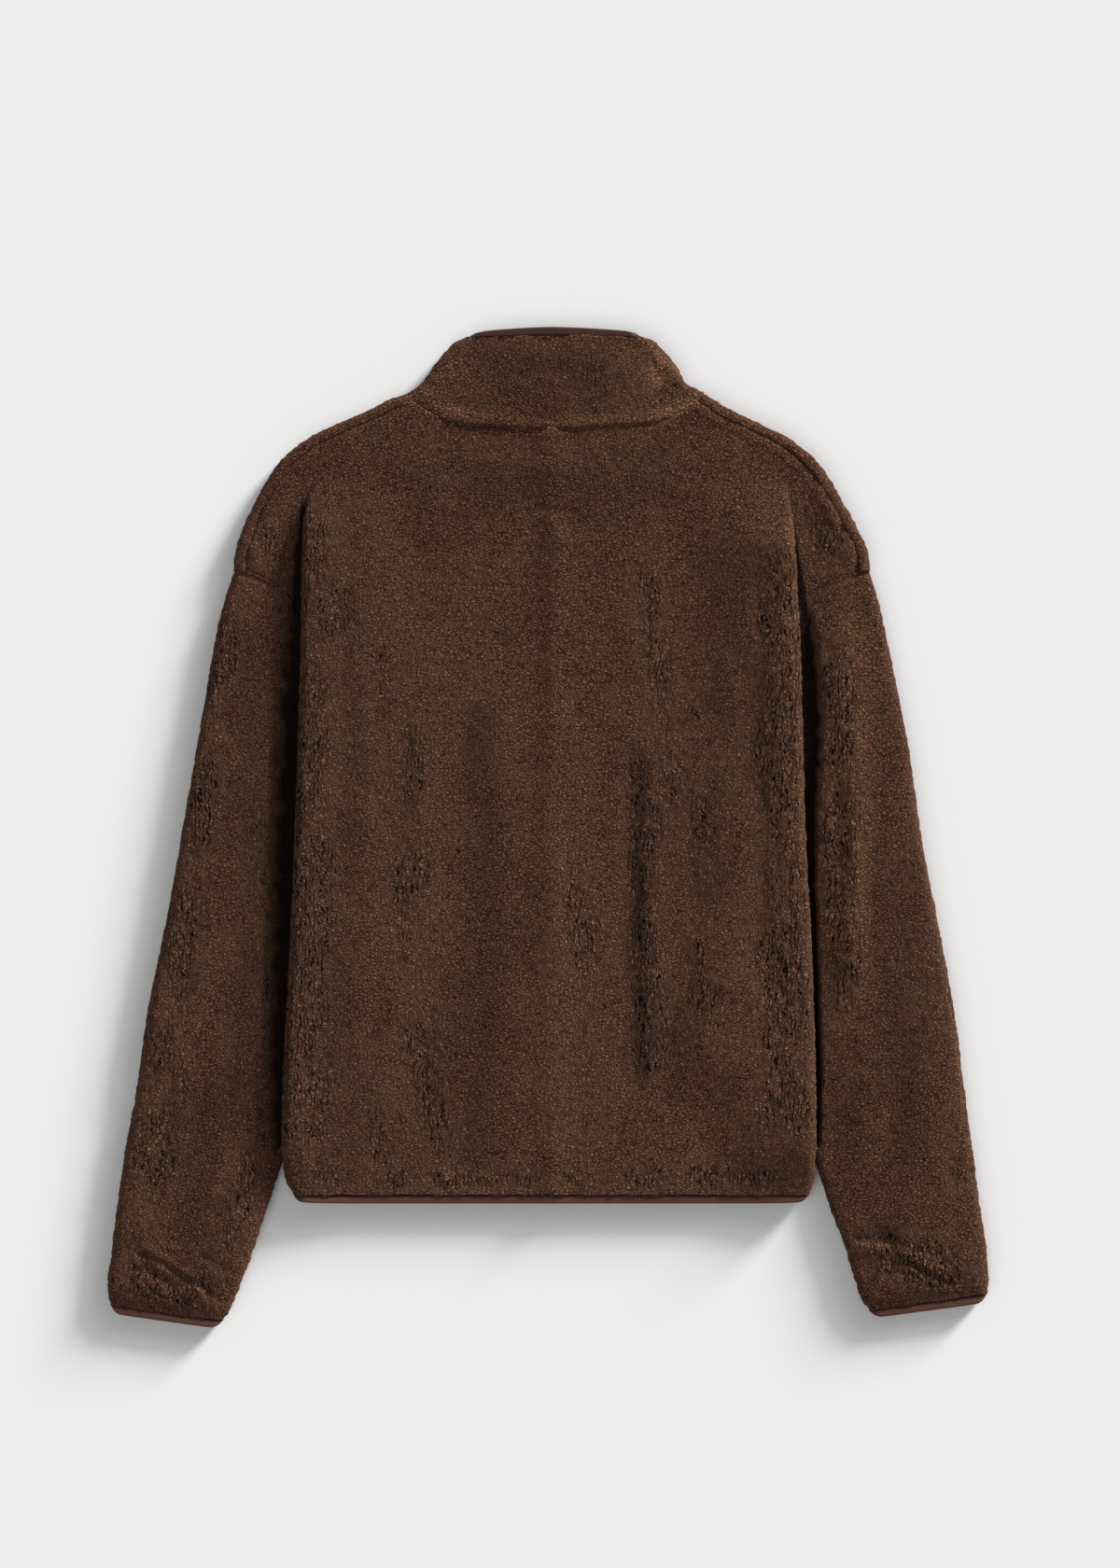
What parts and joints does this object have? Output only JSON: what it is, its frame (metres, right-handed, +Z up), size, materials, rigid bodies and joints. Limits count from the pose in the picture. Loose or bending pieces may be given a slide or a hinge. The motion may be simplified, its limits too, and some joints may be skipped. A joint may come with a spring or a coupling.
{
  "type": "fleece jacket",
  "caption": "Pile fleece jacket with stand collar, drop shoulders, elastic bindings and a front zip, laid flat face down with its back uppermost.",
  "frame": {"origin": "centre of the jacket's outline on the surface it lies on, at its underside", "axes": "+Z up out of the back that lies uppermost, +Y from hem to collar, +X towards the wearer's right sleeve"},
  "size_m": [0.6605, 0.7517, 0.0245],
  "materials": {
    "fleece": "matt curly pile",
    "binding": "matt ribbed elastic",
    "zip_tape": "woven tape",
    "zip_chain": "moulded teeth",
    "zip_metal": "dark satin"
  },
  "bodies": {
    "garment": {"back": "fleece", "front_left": "fleece", "front_right": "fleece", "sleeve_left": "fleece", "sleeve_right": "fleece", "collar": "fleece", "collar_binding": "binding", "hem_binding": "binding", "cuff_binding_left": "binding", "cuff_binding_right": "binding", "zip_tape_left": "zip_tape", "zip_tape_right": "zip_tape", "zip_chain": "zip_chain", "zip_slider": "zip_metal"},
    "zip_pull": {"zip_pull": "zip_metal"}
  },
  "joints": [
    {"name": "zip_pull_hinge", "type": "hinge", "parent": "garment", "child": "zip_pull", "pos_m": [0.003, 0.296, 0.00168], "axis": [1, 0, 0], "range_deg": [0, 175]}
  ]
}
